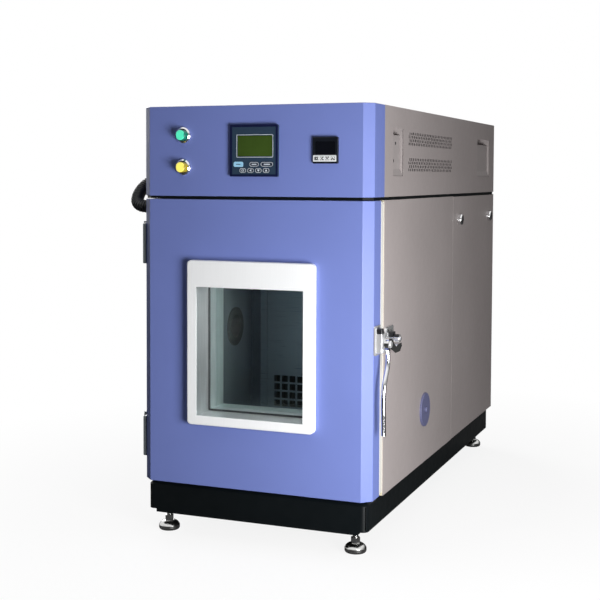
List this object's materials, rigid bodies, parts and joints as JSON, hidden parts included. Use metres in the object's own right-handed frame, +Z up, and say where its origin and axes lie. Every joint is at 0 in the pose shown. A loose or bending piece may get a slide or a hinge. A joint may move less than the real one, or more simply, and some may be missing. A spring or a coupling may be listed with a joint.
{
  "type": "environmental test chamber",
  "caption": "Bench-size climate test chamber with a windowed hinged door, latch lever, control head with instruments and buttons, rear machine compartment and levelling feet.",
  "frame": {"origin": "on the floor, under the middle of the cabinet (halfway across its width and its depth)", "axes": "+X to the right as seen from the front, +Y from the door to the rear panel, +Z up"},
  "size_m": [0.5486, 1.061, 0.827],
  "materials": {
    "panel_blue": "satin",
    "panel_grey": "satin",
    "cup_grey": "satin",
    "plinth_black": "matte",
    "foam": "matte",
    "stainless": "brushed",
    "frame_white": "satin",
    "window_aluminium": "satin anodised",
    "window_glass": "polished",
    "seal_rubber": "matte",
    "hinge_zinc": "satin",
    "chrome": "polished",
    "latch_black": "satin",
    "port_blue": "satin",
    "gland_black": "satin",
    "conduit_black": "ribbed",
    "case_black": "satin",
    "key_plastic": "satin",
    "key_blue": "satin",
    "button_green": "glossy",
    "button_yellow": "glossy",
    "zinc": "zinc plated",
    "motor_grey": "painted",
    "fin_aluminium": "finned",
    "copper": "bare copper",
    "fan_steel": "plain",
    "fan_black": "satin"
  },
  "bodies": {
    "cabinet": {"plinth": "plinth_black", "side_panels": "panel_grey", "rear_panels": "panel_grey", "machine_frame": "plinth_black", "chamber_insulation": "foam", "inner_liner": "stainless", "front_frame": "frame_white", "air_baffle": "stainless", "cable_port": "stainless", "port_cover": "port_blue", "fan_motor": "motor_grey", "air_heater": "stainless", "evaporator": "fin_aluminium", "compressor": "motor_grey", "condenser": "fin_aluminium", "refrigerant_pipes": "copper", "head_tray": "plinth_black", "head_top": "panel_grey", "head_sides": "panel_grey", "head_fascia": "panel_blue", "grip_cups": "cup_grey", "control_chassis": "zinc", "controller_case": "case_black", "limiter_case": "case_black", "button_bezels": "chrome", "hinge_leaves_cabinet": "hinge_zinc", "latch_keeper": "chrome", "conduit_gland_head": "gland_black", "control_conduit": "conduit_black"},
    "door": {"door_skin": "panel_blue", "door_inner_pan": "stainless", "window_frame": "window_aluminium", "window_glass": "window_glass", "door_gasket": "seal_rubber", "hinge_leaves_door": "hinge_zinc", "latch_base": "latch_black", "conduit_gland_door": "gland_black"},
    "latch_lever": {"latch_lever": "chrome"},
    "service_panel": {"service_panel": "panel_grey"},
    "cam_lock_front": {"cam_lock_front": "chrome"},
    "cam_lock_rear": {"cam_lock_rear": "chrome"},
    "circulation_fan": {"circulation_fan": "fan_steel"},
    "condenser_fan": {"condenser_fan": "fan_black"},
    "green_button": {"green_button": "button_green"},
    "yellow_button": {"yellow_button": "button_yellow"},
    "foot_front_left": {"foot_front_left": "zinc"},
    "foot_front_right": {"foot_front_right": "zinc"},
    "foot_rear_left": {"foot_rear_left": "zinc"},
    "foot_rear_right": {"foot_rear_right": "zinc"},
    "controller_key_run": {"controller_key_run": "key_blue"},
    "controller_key_menu": {"controller_key_menu": "key_plastic"},
    "controller_key_page": {"controller_key_page": "key_plastic"},
    "controller_key_back": {"controller_key_back": "key_plastic"},
    "controller_key_left": {"controller_key_left": "key_plastic"},
    "controller_key_down": {"controller_key_down": "key_plastic"},
    "controller_key_up": {"controller_key_up": "key_plastic"},
    "limiter_key_set": {"limiter_key_set": "key_plastic"},
    "limiter_key_left": {"limiter_key_left": "key_plastic"},
    "limiter_key_down": {"limiter_key_down": "key_plastic"},
    "limiter_key_up": {"limiter_key_up": "key_plastic"}
  },
  "joints": [
    {"name": "door_hinge", "type": "hinge", "parent": "cabinet", "child": "door", "pos_m": [-0.2435, -0.4725, 0.376], "axis": [0, 0, -1], "range_deg": [0, 110], "deforming": ["control_conduit"]},
    {"name": "latch_pivot", "type": "hinge", "parent": "door", "child": "latch_lever", "pos_m": [0.2515, -0.4795, 0.39], "axis": [-1, 0, 0], "range_deg": [0, 90]},
    {"name": "service_panel_lift", "type": "slide", "parent": "cabinet", "child": "service_panel", "axis": [1, 0, 0], "range_m": [0, 0.25]},
    {"name": "cam_lock_front_turn", "type": "hinge", "parent": "service_panel", "child": "cam_lock_front", "pos_m": [0.232, 0.1455, 0.597], "axis": [1, 0, 0], "range_deg": [0, 90]},
    {"name": "cam_lock_rear_turn", "type": "hinge", "parent": "service_panel", "child": "cam_lock_rear", "pos_m": [0.232, 0.4555, 0.597], "axis": [1, 0, 0], "range_deg": [0, 90]},
    {"name": "circulation_fan_spin", "type": "hinge", "parent": "cabinet", "child": "circulation_fan", "pos_m": [0, -0.0325, 0.443], "axis": [0, 1, 0], "continuous": true},
    {"name": "condenser_fan_spin", "type": "hinge", "parent": "cabinet", "child": "condenser_fan", "pos_m": [0, 0.4425, 0.249], "axis": [0, 1, 0], "continuous": true},
    {"name": "green_button_press", "type": "slide", "parent": "cabinet", "child": "green_button", "axis": [0, 1, 0], "range_m": [0, 0.004], "stiffness_N_per_m": 300},
    {"name": "yellow_button_press", "type": "slide", "parent": "cabinet", "child": "yellow_button", "axis": [0, 1, 0], "range_m": [0, 0.004], "stiffness_N_per_m": 300},
    {"name": "foot_front_left_screw", "type": "slide", "parent": "cabinet", "child": "foot_front_left", "axis": [0, 0, -1], "range_m": [0, 0.015]},
    {"name": "foot_front_right_screw", "type": "slide", "parent": "cabinet", "child": "foot_front_right", "axis": [0, 0, -1], "range_m": [0, 0.015]},
    {"name": "foot_rear_left_screw", "type": "slide", "parent": "cabinet", "child": "foot_rear_left", "axis": [0, 0, -1], "range_m": [0, 0.015]},
    {"name": "foot_rear_right_screw", "type": "slide", "parent": "cabinet", "child": "foot_rear_right", "axis": [0, 0, -1], "range_m": [0, 0.015]},
    {"name": "controller_key_run_press", "type": "slide", "parent": "cabinet", "child": "controller_key_run", "axis": [0, 1, 0], "range_m": [0, 0.0005], "stiffness_N_per_m": 200},
    {"name": "controller_key_menu_press", "type": "slide", "parent": "cabinet", "child": "controller_key_menu", "axis": [0, 1, 0], "range_m": [0, 0.0005], "stiffness_N_per_m": 200},
    {"name": "controller_key_page_press", "type": "slide", "parent": "cabinet", "child": "controller_key_page", "axis": [0, 1, 0], "range_m": [0, 0.0005], "stiffness_N_per_m": 200},
    {"name": "controller_key_back_press", "type": "slide", "parent": "cabinet", "child": "controller_key_back", "axis": [0, 1, 0], "range_m": [0, 0.0005], "stiffness_N_per_m": 200},
    {"name": "controller_key_left_press", "type": "slide", "parent": "cabinet", "child": "controller_key_left", "axis": [0, 1, 0], "range_m": [0, 0.0005], "stiffness_N_per_m": 200},
    {"name": "controller_key_down_press", "type": "slide", "parent": "cabinet", "child": "controller_key_down", "axis": [0, 1, 0], "range_m": [0, 0.0005], "stiffness_N_per_m": 200},
    {"name": "controller_key_up_press", "type": "slide", "parent": "cabinet", "child": "controller_key_up", "axis": [0, 1, 0], "range_m": [0, 0.0005], "stiffness_N_per_m": 200},
    {"name": "limiter_key_set_press", "type": "slide", "parent": "cabinet", "child": "limiter_key_set", "axis": [0, 1, 0], "range_m": [0, 0.0005], "stiffness_N_per_m": 200},
    {"name": "limiter_key_left_press", "type": "slide", "parent": "cabinet", "child": "limiter_key_left", "axis": [0, 1, 0], "range_m": [0, 0.0005], "stiffness_N_per_m": 200},
    {"name": "limiter_key_down_press", "type": "slide", "parent": "cabinet", "child": "limiter_key_down", "axis": [0, 1, 0], "range_m": [0, 0.0005], "stiffness_N_per_m": 200},
    {"name": "limiter_key_up_press", "type": "slide", "parent": "cabinet", "child": "limiter_key_up", "axis": [0, 1, 0], "range_m": [0, 0.0005], "stiffness_N_per_m": 200}
  ]
}
